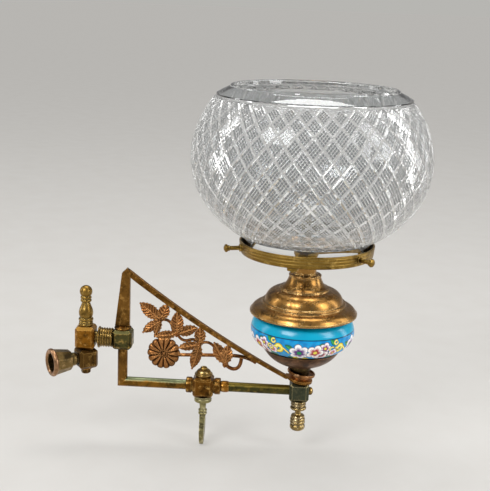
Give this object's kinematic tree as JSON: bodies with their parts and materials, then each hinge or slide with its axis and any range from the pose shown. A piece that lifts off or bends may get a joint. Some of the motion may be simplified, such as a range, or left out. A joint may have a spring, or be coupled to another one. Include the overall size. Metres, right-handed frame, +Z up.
{
  "type": "gas wall sconce",
  "caption": "Old single-swing gas bracket in aged brass with cast foliage, a plug cock, a painted ceramic bowl and a cut-glass globe in a gallery ring.",
  "frame": {"origin": "centre of the inlet, where its thread starts behind the rolled mouth", "axes": "+Y runs straight out from the wall, +Z is up, +X is to the right of someone who faces the wall from behind it"},
  "size_m": [0.2058, 0.2687, 0.2973],
  "materials": {
    "aged_brass": "aged brass with green-brown patina in the recesses",
    "turned_brass": "turned brass, worn bright on the beads",
    "cast_brass": "sand-cast brass with dark hollows",
    "spun_copper": "spun copper-gold brass, polished",
    "gallery_brass": "satin lacquered brass",
    "painted_ceramic": "glazed ceramic with a painted floral band",
    "cut_glass": "clear pressed glass cut in diamonds",
    "steatite": "matt fired stone"
  },
  "bodies": {
    "wall_joint": {"wall_coupling": "aged_brass", "swivel_base": "aged_brass"},
    "arm": {"swivel_plug": "turned_brass", "swivel_washer": "turned_brass", "swivel_nut": "aged_brass", "swivel_block": "aged_brass", "swivel_finial": "turned_brass", "ribbed_ferrule": "turned_brass", "corner_block": "aged_brass", "upright_foot": "turned_brass", "upright_bar": "aged_brass", "brace_bar": "aged_brass", "foliage_spray": "cast_brass", "drop_pipe": "aged_brass", "rear_pipe": "aged_brass", "cock_body": "aged_brass", "cock_stop_pin": "turned_brass", "pipe_ferrule": "turned_brass", "front_pipe": "aged_brass", "end_block": "aged_brass", "end_screw": "turned_brass", "tail_finial": "aged_brass", "brace_seat": "aged_brass", "brace_spacer": "aged_brass", "cup_washer": "spun_copper", "gas_column": "turned_brass", "bowl_stem": "aged_brass", "drip_dish": "spun_copper", "enamel_bowl": "painted_ceramic", "bowl_cap": "spun_copper", "neck_tube": "spun_copper", "holder_ring": "gallery_brass", "holder_spider": "gallery_brass", "burner_pillar": "turned_brass", "burner_tip": "steatite"},
    "cock": {"cock_plug": "turned_brass", "cock_key": "turned_brass", "cock_washer": "turned_brass", "cock_tail_cap": "turned_brass", "cock_tail_screw": "turned_brass"},
    "screw_1": {"thumbscrew_1": "gallery_brass"},
    "screw_2": {"thumbscrew_2": "gallery_brass"},
    "screw_3": {"thumbscrew_3": "gallery_brass"},
    "shade": {"glass_shade": "cut_glass"}
  },
  "joints": [
    {"name": "swing", "type": "hinge", "parent": "wall_joint", "child": "arm", "pos_m": [0, 0.03, 0], "axis": [0, 0, 1], "range_deg": [-30, 100]},
    {"name": "cock_turn", "type": "hinge", "parent": "arm", "child": "cock", "pos_m": [0.05564, 0.10946, -0.0192], "axis": [0, 0, 1], "range_deg": [0, 90]},
    {"name": "screw_1_out", "type": "slide", "parent": "arm", "child": "screw_1", "axis": [0.9781, 0.2079, 0], "range_m": [0, 0.004]},
    {"name": "screw_2_out", "type": "slide", "parent": "arm", "child": "screw_2", "axis": [-0.6691, 0.7431, 0], "range_m": [0, 0.004]},
    {"name": "screw_3_out", "type": "slide", "parent": "arm", "child": "screw_3", "axis": [-0.309, -0.9511, 0], "range_m": [0, 0.004]},
    {"name": "shade_lift", "type": "slide", "parent": "arm", "child": "shade", "axis": [0, 0, 1], "range_m": [0, 0.1]}
  ]
}
